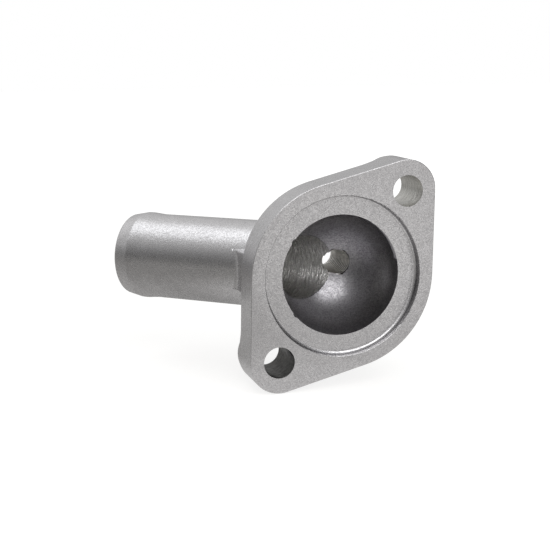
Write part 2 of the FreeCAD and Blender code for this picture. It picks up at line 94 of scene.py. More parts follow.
class Surface(Enum):
    """The kinds of surface on the casting, in the order of its material slots.

    FACED is the mounting face and the seat, DRILLED and TARNISHED are the walls of the upper and the lower
    bolt hole, and TURNED is the wall of the recess with the steep part of its foot. The near-black tone of
    the lower bolt hole is painted shade, the darker tone of the recess wall is painted shade, CHAMBER is
    the cast finish inside the dome darkened with painted shade, and TAPPED has a painted highlight on the
    thread's crests and painted shade at its roots.
    """

    CAST = 0
    FACED = 1
    CHAMBER = 2
    BORED = 3
    DRILLED = 4
    TAPPED = 5
    TARNISHED = 6
    TURNED = 7


def deselect_all() -> None:
    """Leave nothing selected and no object active."""
    for item in bpy.context.scene.objects:
        item.select_set(False)
    bpy.context.view_layer.objects.active = None


def make_active(piece: bpy.types.Object) -> None:
    """Select one object alone and make it active.

    Args:
        piece: The object to select.
    """
    deselect_all()
    piece.select_set(True)
    bpy.context.view_layer.objects.active = piece


def apply_modifier(piece: bpy.types.Object, name: str) -> None:
    """Apply one modifier of an object.

    Args:
        piece: The object that has the modifier.
        name: The modifier's name.
    """
    make_active(piece)
    bpy.ops.object.modifier_apply(modifier=name)


def settle(piece: bpy.types.Object) -> None:
    """Move an object's place, turn and size into its mesh.

    Args:
        piece: The object whose transform is applied.
    """
    make_active(piece)
    bpy.ops.object.transform_apply(location=True, rotation=True, scale=True)


class NodeBuilder:
    """Short ways to place and wire nodes in one node tree."""

    def __init__(self, tree: bpy.types.NodeTree) -> None:
        """Work on a tree.

        Args:
            tree: The node tree of a material, a world or a group.
        """
        self.tree = tree

    def add(self, kind: str, **settings: object) -> bpy.types.Node:
        """Add a node and set its options.

        Args:
            kind: The node's type name.
            settings: Attributes to set on the node.

        Returns:
            The new node.
        """
        node = self.tree.nodes.new(kind)
        for name, value in settings.items():
            setattr(node, name, value)
        return node

    def feed(self, socket: bpy.types.NodeSocket, source: object) -> None:
        """Wire an output into a socket, or write a constant there.

        Args:
            socket: The input socket.
            source: An output socket, or a number, tuple or vector.
        """
        if isinstance(source, bpy.types.NodeSocket):
            self.tree.links.new(source, socket)
        else:
            socket.default_value = source

    def feed_named(self, node: bpy.types.Node, **sources: object) -> None:
        """Feed several inputs of a node.

        Args:
            node: The node.
            sources: Sockets or constants by input name, with an underscore for each blank.
        """
        for name, source in sources.items():
            self.feed(node.inputs[name.replace("_", " ")], source)

    def math(self, operation: str, *terms: object) -> bpy.types.NodeSocket:
        """Add a maths node.

        Args:
            operation: The operation's name.
            terms: Its inputs, as sockets or numbers.

        Returns:
            The result's socket.
        """
        node = self.add("ShaderNodeMath", operation=operation)
        for socket, term in zip(node.inputs, terms):
            self.feed(socket, term)
        return node.outputs[0]

    def vector_math(self, operation: str, *terms: object) -> bpy.types.Node:
        """Add a vector maths node.

        Args:
            operation: The operation's name.
            terms: Its inputs, as sockets, tuples or vectors.

        Returns:
            The node, with an output Vector and an output Value.
        """
        node = self.add("ShaderNodeVectorMath", operation=operation)
        for socket, term in zip(node.inputs, terms):
            self.feed(socket, term)
        return node

    def place(self) -> bpy.types.NodeSocket:
        """Give the place on the piece, in the piece's own coordinates."""
        return self.add("ShaderNodeTexCoord").outputs["Object"]

    def noise(self, vector: object, scale: object, detail: float, roughness: float) -> bpy.types.NodeSocket:
        """Add a noise texture.

        Args:
            vector: Where the noise is read.
            scale: Cells to the metre.
            detail: How many finer layers are added.
            roughness: How strong the finer layers are.

        Returns:
            The noise value's socket.
        """
        node = self.add("ShaderNodeTexNoise")
        self.feed_named(node, Vector=vector, Scale=scale, Detail=detail, Roughness=roughness)
        return node.outputs["Fac"]

    def spread(self, value: object, source: Pair, target: Pair) -> bpy.types.NodeSocket:
        """Map a range of values to another one, smoothly and without overshoot.

        Args:
            value: The value to map.
            source: Where the value's range starts and ends.
            target: What the start and the end become.

        Returns:
            The mapped value's socket.
        """
        node = self.add("ShaderNodeMapRange", interpolation_type="SMOOTHSTEP")
        self.feed_named(node, Value=value, From_Min=source[0], From_Max=source[1])
        self.feed_named(node, To_Min=target[0], To_Max=target[1])
        return node.outputs["Result"]

    def blend(self, factor: object, first: Triple, second: Triple) -> bpy.types.NodeSocket:
        """Mix two colours.

        Args:
            factor: 0 for the first colour, 1 for the second.
            first: The first colour.
            second: The second colour.

        Returns:
            The mixed colour's socket.
        """
        node = self.add("ShaderNodeMix", data_type="RGBA")
        self.feed_named(node, Factor=factor, A=(*first, 1.0), B=(*second, 1.0))
        return node.outputs["Result"]

    def bump(self, height: object, depth: float) -> bpy.types.NodeSocket:
        """Turn a height into a normal.

        Args:
            height: The height, from 0 to 1.
            depth: What a height of 1 stands for.

        Returns:
            The normal's socket.
        """
        node = self.add("ShaderNodeBump")
        self.feed_named(node, Height=height, Distance=depth)
        return node.outputs["Normal"]


@dataclass(frozen=True)
class GrainPattern:
    """How the layers of blasted grain are mixed.

    A scale counts the cells to one grain size, and a share is what a layer adds to the height.
    """

    fine_scale: float = 1.0
    fine_detail: float = 4.0
    fine_roughness: float = 0.8
    dimple_scale: float = 0.8
    dimple_smoothness: float = 0.6
    dimple_share: float = 0.55
    broad_scale: float = 0.11
    broad_detail: float = 3.0
    broad_roughness: float = 0.55
    broad_share: float = 0.15
    patch_range: Pair = (0.3, 0.7)


@dataclass(frozen=True)
class RingPattern:
    """How the rings that a cutter leaves are drawn."""

    detail: float = 4.0
    roughness: float = 0.7
    scratch_range: Pair = (0.3, 0.7)


class SurfaceEffects:
    """The shader groups that the finishes share, each built once."""

    def __init__(self) -> None:
        """Build every group."""
        self.grain = self._blasted_grain(GrainPattern())
        self.marks = self._cutting_marks(RingPattern())

    @staticmethod
    def _group(
        name: str, inputs: dict[str, str], outputs: dict[str, str]
    ) -> tuple[NodeBuilder, bpy.types.Node, bpy.types.Node]:
        """Start a group with named sockets.

        Args:
            name: The group's name.
            inputs: Socket types by input name.
            outputs: Socket types by output name.

        Returns:
            The builder, the group's input node and its output node.
        """
        tree = bpy.data.node_groups.new(name, "ShaderNodeTree")
        for way, sockets in (("INPUT", inputs), ("OUTPUT", outputs)):
            for label, kind in sockets.items():
                tree.interface.new_socket(name=label, in_out=way, socket_type=kind)
        build = NodeBuilder(tree)
        return build, build.add("NodeGroupInput"), build.add("NodeGroupOutput")

    def _blasted_grain(self, pattern: GrainPattern) -> bpy.types.NodeTree:
        """Build the dimpled grain that bead blasting leaves on a casting.

        Args:
            pattern: How the grain's layers are mixed.

        Returns:
            A group that turns a place and a grain size into a height and two tones.
        """
        build, given, result = self._group(
            "BlastedGrain",
            {"Vector": "NodeSocketVector", "Grain Size": "NodeSocketFloat"},
            {"Height": "NodeSocketFloat", "Speckle": "NodeSocketFloat", "Patches": "NodeSocketFloat"},
        )
        place, size = given.outputs["Vector"], given.outputs["Grain Size"]
        per_grain = build.math("DIVIDE", pattern.fine_scale, size)
        fine = build.noise(place, per_grain, pattern.fine_detail, pattern.fine_roughness)
        dimples = build.add("ShaderNodeTexVoronoi", feature="SMOOTH_F1")
        per_dimple = build.math("DIVIDE", pattern.dimple_scale, size)
        build.feed_named(dimples, Vector=place, Scale=per_dimple, Smoothness=pattern.dimple_smoothness)
        dented = build.math("MULTIPLY", dimples.outputs["Distance"], pattern.dimple_share)
        per_patch = build.math("DIVIDE", pattern.broad_scale, size)
        broad = build.noise(place, per_patch, pattern.broad_detail, pattern.broad_roughness)
        uneven = build.math("MULTIPLY", broad, pattern.broad_share)
        specks = build.add("ShaderNodeTexVoronoi", feature="F1")
        build.feed_named(specks, Vector=place, Scale=per_grain)
        parts = build.add("ShaderNodeSeparateColor")
        build.feed_named(parts, Color=specks.outputs["Color"])
        build.feed_named(
            result,
            Height=build.math("ADD", build.math("ADD", fine, dented), uneven),
            Speckle=parts.outputs["Red"],
            Patches=build.spread(broad, pattern.patch_range, WHOLE),
        )
        return build.tree

    def _cutting_marks(self, pattern: RingPattern) -> bpy.types.NodeTree:
        """Build the rings that a drill or a boring bar leaves round its axis.

        Args:
            pattern: How the rings are drawn.

        Returns:
            A group that turns a place, whose Z runs along the axis, into a height and a tone.
        """
        build, given, result = self._group(
            "CuttingMarks",
            {"Vector": "NodeSocketVector", "Feed": "NodeSocketFloat", "Wander": "NodeSocketFloat"},
            {"Height": "NodeSocketFloat", "Scratches": "NodeSocketFloat"},
        )
        stretch = build.add("ShaderNodeCombineXYZ")
        build.feed_named(stretch, X=given.outputs["Wander"], Y=given.outputs["Wander"], Z=1.0)
        place = build.vector_math("MULTIPLY", given.outputs["Vector"], stretch.outputs["Vector"])
        per_ring = build.math("DIVIDE", 1.0, given.outputs["Feed"])
        rings = build.noise(place.outputs["Vector"], per_ring, pattern.detail, pattern.roughness)
        build.feed_named(result, Height=rings, Scratches=build.spread(rings, pattern.scratch_range, WHOLE))
        return build.tree


@dataclass(frozen=True)
class MetalFinish:
    """What every finish of the aluminium has: a bright and a dark tone, and a roughness."""

    name: str
    tone: Triple
    dark_tone: Triple
    roughness: float

    def start(self) -> tuple[bpy.types.Material, NodeBuilder, bpy.types.Node]:
        """Start the material.

        Returns:
            The material, a builder on its tree and its shader node.
        """
        material = bpy.data.materials.new(self.name)
        material.use_nodes = True
        shader = material.node_tree.nodes["Principled BSDF"]
        shader.inputs["Metallic"].default_value = 1.0
        return material, NodeBuilder(material.node_tree), shader


@dataclass(frozen=True)
class BlastedFinish(MetalFinish):
    """Aluminium whose surface was bead blasted, cast or machined below it."""

    grain_size: float
    grain_depth: float
    speckle_share: float = 0.85
    patch_share: float = 0.15
    roughness_swing: float = 0.07

    def build(self, effects: SurfaceEffects) -> bpy.types.Material:
        """Make the material.

        Args:
            effects: The shared shader groups.

        Returns:
            The material.
        """
        material, build, shader = self.start()
        grain = build.add("ShaderNodeGroup", node_tree=effects.grain)
        build.feed_named(grain, Vector=build.place(), Grain_Size=self.grain_size)
        speckle = grain.outputs["Speckle"]
        fine = build.math("MULTIPLY", speckle, self.speckle_share)
        broad = build.math("MULTIPLY", grain.outputs["Patches"], self.patch_share)
        dull, bright = self.roughness + self.roughness_swing, self.roughness - self.roughness_swing
        build.feed_named(
            shader,
            Base_Color=build.blend(build.math("ADD", fine, broad), self.dark_tone, self.tone),
            Roughness=build.spread(speckle, WHOLE, (dull, bright)),
            Normal=build.bump(grain.outputs["Height"], self.grain_depth),
        )
        return material


@dataclass(frozen=True)
class CutFinish(MetalFinish):
    """Aluminium that a drill or a boring bar cut, with the rings it left.

    The tilt is the angle between the hole's axis and the mounting face.
    """

    feed: float
    wander: float
    mark_depth: float
    tilt: float = math.radians(90)
    dull_swing: float = 0.1
    bright_swing: float = 0.06

    def build(self, effects: SurfaceEffects) -> bpy.types.Material:
        """Make the material.

        Args:
            effects: The shared shader groups.

        Returns:
            The material.
        """
        material, build, shader = self.start()
        turned = build.add("ShaderNodeMapping")
        along_hole = (math.radians(90), math.radians(90) - self.tilt, 0.0)
        build.feed_named(turned, Vector=build.place(), Rotation=along_hole)
        marks = build.add("ShaderNodeGroup", node_tree=effects.marks)
        build.feed_named(marks, Vector=turned.outputs["Vector"], Feed=self.feed, Wander=self.wander)
        scratches = marks.outputs["Scratches"]
        dull, bright = self.roughness + self.dull_swing, self.roughness - self.bright_swing
        build.feed_named(
            shader,
            Base_Color=build.blend(scratches, self.dark_tone, self.tone),
            Roughness=build.spread(scratches, WHOLE, (dull, bright)),
            Normal=build.bump(marks.outputs["Height"], self.mark_depth),
        )
        return material


@dataclass(frozen=True)
class ThreadPaintedLight(MetalFinish):
    """Aluminium that a tap cut, with a painted highlight on the crests of the thread and painted shade at
    its roots.
    """

    centre: Triple
    crest_radius: float = 4.28 * MM
    root_radius: float = 4.6 * MM

    def build(self, effects: SurfaceEffects) -> bpy.types.Material:
        """Make the material.

        Args:
            effects: The shared shader groups, of which this finish needs none.

        Returns:
            The material.
        """
        material, build, shader = self.start()
        spoke = build.vector_math("SUBTRACT", build.place(), self.centre).outputs["Vector"]
        across = build.vector_math("MULTIPLY", spoke, (1.0, 0.0, 1.0)).outputs["Vector"]
        radius = build.vector_math("LENGTH", across).outputs["Value"]
        # The colour goes from a painted highlight at the crest radius to painted shade at the root radius.
        depth = build.spread(radius, (self.crest_radius, self.root_radius), WHOLE)
        build.feed_named(
            shader, Base_Color=build.blend(depth, self.tone, self.dark_tone), Roughness=self.roughness
        )
        return material


@dataclass
class SensorThread:
    """The M10 thread of the sensor port, as the cutter that carves it."""

    centre_x: float = 6.2 * MM
    centre_z: float = 0.5 * MM
    start_y: float = 21.5 * MM
    pitch: float = 1.5 * MM
    turns: int = 17
    root_radius: float = 4.75 * MM
    minor_radius: float = 4.25 * MM
    inner_radius: float = 4.1 * MM
    root_flat: float = 0.2 * MM
    base_width: float = 1.4 * MM
    steps: int = 40

    def cutter(self) -> bpy.types.Object:
        """Sweep the thread's section along its helix.

        Returns:
            A closed mesh that overlaps the wall of the hole.
        """
        deselect_all()
        bpy.ops.mesh.primitive_plane_add(size=1.0, location=(0.0, 0.0, 0.0))
        coil = bpy.context.active_object
        coil.name = "thread_cutter"
        corners = (
            (self.inner_radius, -self.base_width / 2),
            (self.root_radius, -self.root_flat / 2),
            (self.inner_radius, self.base_width / 2),
            (self.root_radius, self.root_flat / 2),
        )
        for vertex, (radius, height) in zip(coil.data.vertices, corners):
            vertex.co = (radius, 0.0, height)
        bpy.ops.object.mode_set(mode="EDIT")
        bpy.ops.mesh.select_all(action="SELECT")
        bpy.ops.mesh.delete(type="ONLY_FACE")
        bpy.ops.object.mode_set(mode="OBJECT")
        screw = coil.modifiers.new("Helix", "SCREW")
        screw.axis = "Z"
        screw.screw_offset = self.pitch
        screw.iterations = self.turns
        screw.steps = self.steps
        screw.render_steps = self.steps
        screw.use_smooth_shade = True
        apply_modifier(coil, "Helix")
        bpy.ops.object.mode_set(mode="EDIT")
        bpy.ops.mesh.select_all(action="SELECT")
        bpy.ops.mesh.fill_holes(sides=0)
        bpy.ops.mesh.normals_make_consistent(inside=False)
        bpy.ops.object.mode_set(mode="OBJECT")
        coil.rotation_euler = LAID_BACK
        coil.location = (self.centre_x, self.start_y, self.centre_z)
        settle(coil)
        return coil


@dataclass
class MachinedForms:
    """The machined cavities and the nicks, as cutters.

    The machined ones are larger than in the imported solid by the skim, so that the cuts leave none of its
    faces there.
    """

    recess_radius: float = 27.0 * MM
    recess_depth: float = 3.1 * MM
    mouth_break: float = 0.25 * MM
    foot_radius: float = 1.2 * MM
    foot_steps: int = 8
    chamber_radius: float = 20.45 * MM
    chamber_straight: float = 3.15 * MM
    nick_radius: float = 1.3 * MM
    nick_depth: float = 0.45 * MM
    nick_turns: Pair = (math.radians(143.5), math.radians(-141.5))
    bore_radius: float = 11.1 * MM
    bore_length: float = 77.6 * MM
    spigot_depth: float = 15.3 * MM
    spigot_tilt: float = math.radians(42.55)
    bolt_hole_radius: float = 5.3 * MM
    bolt_hole_reach: float = 27.0 * MM
    bolt_place: float = 35.7 * MM
    bolt_turn: float = math.radians(51.0)
    skim: float = 0.004 * MM
    beyond: float = 2.0 * MM
    fine_steps: int = 240
    hole_steps: int = 96

    def spigot_way(self) -> Vector:
        """Give the spigot's direction, out of its mouth."""
        return Vector((-math.cos(self.spigot_tilt), math.sin(self.spigot_tilt), 0.0))

    def bolt_places(self) -> tuple[Vector, Vector]:
        """Give the places of the upper and the lower bolt hole on the mounting face."""
        upper = Vector((math.cos(self.bolt_turn), 0.0, math.sin(self.bolt_turn))) * self.bolt_place
        return upper, -upper

    def rod(self, start: Vector, end: Vector, radius: float, steps: int) -> bpy.types.Object:
        """Model a round cutter between two points.

        Args:
            start: The middle of one end.
            end: The middle of the other end.
            radius: Its radius.
            steps: How many sides it has.

        Returns:
            The cutter, with its +Z end at the second point and its place not yet in its mesh.
        """
        deselect_all()
        bpy.ops.mesh.primitive_cylinder_add(vertices=steps, radius=radius, depth=(end - start).length)
        rod = bpy.context.active_object
        rod.location = (start + end) / 2
        rod.rotation_mode = "QUATERNION"
        rod.rotation_quaternion = (end - start).to_track_quat("Z", "Y")
        return rod

    def settled_rod(self, start: Vector, end: Vector, radius: float, steps: int) -> bpy.types.Object:
        """Model a round cutter between two points, with its place in its mesh.

        Args:
            start: The middle of one end.
            end: The middle of the other end.
            radius: Its radius.
            steps: How many sides it has.

        Returns:
            The cutter.
        """
        rod = self.rod(start, end, radius, steps)
        settle(rod)
        return rod

    def recess(self) -> bpy.types.Object:
        """Model the turned recess with the concave radius at its foot.

        Returns:
            The cutter.
        """
        front = Vector((0.0, -self.beyond, 0.0))
        seat = Vector((0.0, self.recess_depth + self.skim, 0.0))
        block = self.rod(front, seat, self.recess_radius + self.skim, self.fine_steps)
        make_active(block)
        bpy.ops.object.mode_set(mode="EDIT")
        bpy.ops.mesh.select_all(action="DESELECT")
        bpy.ops.object.mode_set(mode="OBJECT")
        for edge in block.data.edges:
            edge.select = all(block.data.vertices[index].co.z > 0 for index in edge.vertices)
        bpy.ops.object.mode_set(mode="EDIT")
        bpy.ops.mesh.select_mode(type="EDGE")
        bpy.ops.mesh.bevel(offset=self.foot_radius, segments=self.foot_steps, affect="EDGES")
        bpy.ops.object.mode_set(mode="OBJECT")
        settle(block)
        return block

    def mouth(self) -> bpy.types.Object:
        """Model the edge break at the recess mouth.

        Returns:
            The cutter.
        """
        deselect_all()
        narrow = self.recess_radius + self.skim
        rise = self.mouth_break + self.skim
        bpy.ops.mesh.primitive_cone_add(
            vertices=self.fine_steps, radius1=narrow + 2 * rise, radius2=narrow, depth=2 * rise
        )
        cone = bpy.context.active_object
        cone.rotation_euler = LAID_BACK
        settle(cone)
        return cone

    def opening(self) -> bpy.types.Object:
        """Model the straight wall between the seat and the dome.

        Returns:
            The cutter.
        """
        front = Vector((0.0, -self.beyond, 0.0))
        end = Vector((0.0, self.recess_depth + self.chamber_straight + self.skim, 0.0))
        return self.settled_rod(front, end, self.chamber_radius + self.skim, self.fine_steps)

    def chamber(self) -> bpy.types.Object:
        """Model the dome of the chamber.

        Returns:
            The cutter.
        """
        deselect_all()
        radius = self.chamber_radius + self.skim
        rings = self.fine_steps // 2
        bpy.ops.mesh.primitive_uv_sphere_add(segments=self.fine_steps, ring_count=rings, radius=radius)
        ball = bpy.context.active_object
        ball.rotation_euler = LAID_BACK
        ball.location.y = self.recess_depth + self.chamber_straight
        settle(ball)
        return ball

    def nicks(self) -> list[bpy.types.Object]:
        """Model the two small nicks in the opening's edge, on the side of the spigot.

        Returns:
            The cutters.
        """
        rods = []
        for turn in self.nick_turns:
            place = Vector((math.cos(turn), 0.0, math.sin(turn)))
            place *= self.chamber_radius + self.nick_depth - self.nick_radius
            end = place + Vector((0.0, self.recess_depth + self.chamber_straight, 0.0))
            rods.append(self.settled_rod(place, end, self.nick_radius, self.hole_steps))
        return rods

    def bore(self) -> bpy.types.Object:
        """Model the drilled bore of the spigot, short of the edge break at its mouth.

        Returns:
            The cutter.
        """
        start = Vector((0.0, self.spigot_depth, 0.0))
        end = start + self.spigot_way() * self.bore_length
        return self.settled_rod(start, end, self.bore_radius + self.skim, self.hole_steps)

    def bolt_holes(self) -> list[bpy.types.Object]:
        """Model the two plain bolt holes.

        Returns:
            The cutters.
        """
        reach = Vector((0.0, self.bolt_hole_reach, 0.0))
        radius = self.bolt_hole_radius + self.skim
        return [
            self.settled_rod(place - reach, place + reach, radius, self.hole_steps)
            for place in self.bolt_places()
        ]

    def cutters(self) -> list[bpy.types.Object]:
        """Model every cutter, in the order of the cuts.

        Returns:
            The cutters.
        """
        cavity = [self.recess(), self.mouth(), self.opening(), self.chamber()]
        return cavity + self.nicks() + [self.bore()] + self.bolt_holes()


@dataclass(frozen=True)
class HoleWall:
    """The wall of one drilled or tapped hole, by its axis, its radius and its kind of surface."""

    start: Vector
    axis: Vector
    radius: float
    surface: Surface

    def holds(self, corners: list[Vector], normal: Vector, near: float, facing: float) -> bool:
        """Tell whether a face lies on this wall.

        Args:
            corners: The face's corners.
            normal: The face's normal.
            near: How far from the wall a corner may lie.
            facing: How squarely the face looks at the axis, as a cosine.

        Returns:
            Whether it lies there.
        """
        ways = [corner - self.start for corner in corners]
        spokes = [way - self.axis * way.dot(self.axis) for way in ways]
        if any(abs(spoke.length - self.radius) >= near for spoke in spokes):
            return False
        return sum(spokes, Vector()).normalized().dot(normal) < -facing


@dataclass
class HousingCasting:
    """The casting itself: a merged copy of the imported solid, carved and given its finishes.

    A face is told by its corners, which may lie off a surface by less than near, and by its normal.
    """

    forms: MachinedForms = field(default_factory=MachinedForms)
    thread: SensorThread = field(default_factory=SensorThread)
    merge_reach: float = 0.002 * MM
    near: float = 0.06 * MM
    hole_facing: float = 0.9
    recess_lean: float = 0.6
    crease: float = math.radians(32)

    def build(self, finishes: dict[Surface, bpy.types.Material]) -> bpy.types.Object:
        """Make the casting.

        Args:
            finishes: A material for each kind of surface.

        Returns:
            The finished piece.
        """
        piece = self.copy_of_solid()
        for surface in Surface:
            piece.data.materials.append(finishes[surface])
        for cutter in self.forms.cutters():
            self.carve(piece, cutter, Surface.CAST)
        self.assign(piece)
        self.carve(piece, self.thread.cutter(), Surface.TAPPED)
        self.smooth(piece)
        return piece

    def copy_of_solid(self) -> bpy.types.Object:
        """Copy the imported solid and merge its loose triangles.

        Returns:
            The copy.
        """
        make_active(frame["nodes"]["housing"])
        bpy.ops.object.duplicate()
        piece = bpy.context.active_object
        piece.name = "housing_casting"
        piece.data.name = "housing_casting"
        piece.parent = None
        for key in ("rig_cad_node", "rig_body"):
            if key in piece:
                del piece[key]
        piece.data.materials.clear()
        make_active(piece)
        bpy.ops.object.mode_set(mode="EDIT")
        bpy.ops.mesh.select_all(action="SELECT")
        bpy.ops.mesh.remove_doubles(threshold=self.merge_reach)
        bpy.ops.object.mode_set(mode="OBJECT")
        return piece

    def hole_walls(self) -> tuple[HoleWall, ...]:
        """List the walls of the drilled and tapped holes.

        Returns:
            The walls of the bore, the two bolt holes and the sensor port.
        """
        forms, back = self.forms, Vector((0.0, 1.0, 0.0))
        upper, lower = forms.bolt_places()
        crossing = Vector((0.0, forms.spigot_depth, 0.0))
        port = Vector((self.thread.centre_x, 0.0, self.thread.centre_z))
        return (
            HoleWall(crossing, forms.spigot_way(), forms.bore_radius, Surface.BORED),
            HoleWall(upper, back, forms.bolt_hole_radius, Surface.DRILLED),
            # The lower bolt hole takes the slot whose near-black tones are painted shade.
            HoleWall(lower, back, forms.bolt_hole_radius, Surface.TARNISHED),
            HoleWall(port, back, self.thread.minor_radius, Surface.TAPPED),
        )

    def surface_at(self, corners: list[Vector], normal: Vector, walls: tuple[HoleWall, ...]) -> Surface:
        """Tell which kind of surface a face belongs to.

        Args:
            corners: The face's corners.
            normal: The face's normal.
            walls: The walls of the holes.

        Returns:
            The kind of surface.
        """
        for wall in walls:
            if wall.holds(corners, normal, self.near, self.hole_facing):
                return wall.surface
        forms = self.forms
        deepest = max(corner.y for corner in corners)
        spans = [math.hypot(corner.x, corner.z) for corner in corners]
        in_recess = max(spans) < forms.recess_radius + forms.mouth_break + self.near
        on_foot = in_recess and min(spans) > forms.recess_radius - forms.foot_radius
        # The steep part of the recess wall takes the slot whose darker tone is painted shade.
        if on_foot and abs(normal.y) < self.recess_lean:
            return Surface.TURNED
        on_seat = in_recess and min(spans) > forms.chamber_radius - self.near
        if deepest < self.near or (on_seat and deepest < forms.recess_depth + self.near):
            return Surface.FACED
        middle = Vector((0.0, forms.recess_depth + forms.chamber_straight, 0.0))
        reach = forms.chamber_radius + 2 * forms.nick_depth
        # Faces inside the dome take the slot whose darker tones are painted shade.
        if all((corner - middle).length < reach for corner in corners):
            return Surface.CHAMBER
        return Surface.CAST

    def assign(self, piece: bpy.types.Object) -> None:
        """Give each face the slot of its kind of surface.

        Args:
            piece: The casting.
        """
        walls = self.hole_walls()
        places = [vertex.co for vertex in piece.data.vertices]
        for face in piece.data.polygons:
            corners = [places[index] for index in face.vertices]
            face.material_index = self.surface_at(corners, face.normal, walls).value

    def carve(self, piece: bpy.types.Object, cutter: bpy.types.Object, surface: Surface) -> None:
        """Cut one shape out of the casting.

        Args:
            piece: The casting.
            cutter: The shape to cut away, which is removed afterwards.
            surface: The kind of surface that the cut leaves.
        """
        for slot in piece.data.materials:
            cutter.data.materials.append(slot)
        for face in cutter.data.polygons:
            face.material_index = surface.value
        cut = piece.modifiers.new("Cut", "BOOLEAN")
        cut.operation = "DIFFERENCE"
        cut.solver = "MANIFOLD"
        cut.object = cutter
        apply_modifier(piece, "Cut")
        bpy.data.objects.remove(cutter)

    def smooth(self, piece: bpy.types.Object) -> None:
        """Shade the casting smooth, with its true edges kept.

        Args:
            piece: The casting.
        """
        make_active(piece)
        bpy.ops.object.shade_smooth_by_angle(angle=self.crease)
        weight = piece.modifiers.new("Weight", "WEIGHTED_NORMAL")
        weight.keep_sharp = True
        apply_modifier(piece, "Weight")


@dataclass(frozen=True)
class SoftBox:
    """One soft box that faces the casting.

    The azimuth runs from the front of the casting towards its right, in degrees, and the level is the box's
    brightness, whatever its size.
    """

    name: str
    azimuth: float
    elevation: float
    width: float
    height: float
    level: float
    tint: Triple = (1.0, 1.0, 1.0)
    distance: float = 0.9

    def hang(self, aim: Vector) -> None:
        """Hang the soft box.

        Args:
            aim: The point that it faces.
        """
        side, rise = math.radians(self.azimuth), math.radians(self.elevation)
        way = Vector((math.sin(side) * math.cos(rise), -math.cos(side) * math.cos(rise), math.sin(rise)))
        data = bpy.data.lights.new(self.name, "AREA")
        data.shape = "RECTANGLE"
        data.size, data.size_y = self.width, self.height
        data.energy = self.level * math.pi * self.width * self.height
        data.color = self.tint
        lamp = bpy.data.objects.new(self.name, data)
        bpy.context.scene.collection.objects.link(lamp)
        lamp.location = aim + way * self.distance
        lamp.rotation_mode = "QUATERNION"
        lamp.rotation_quaternion = (-way).to_track_quat("-Z", "Y")
        lamp.visible_camera = False


COOL = (0.95, 0.975, 1.0)
SOFT_BOXES = (
    SoftBox("key_box", 3.0, 40.0, 0.9, 0.55, 2.5),
    SoftBox("front_top_box", 42.0, 60.0, 0.7, 0.5, 0.6, COOL),
    SoftBox("back_left_box", 238.0, 63.0, 0.6, 0.5, 0.85, COOL),
    SoftBox("low_front_box", 5.0, 12.0, 1.3, 0.3, 0.48),
    SoftBox("left_box", -44.0, 30.0, 0.8, 0.6, 0.14),
)


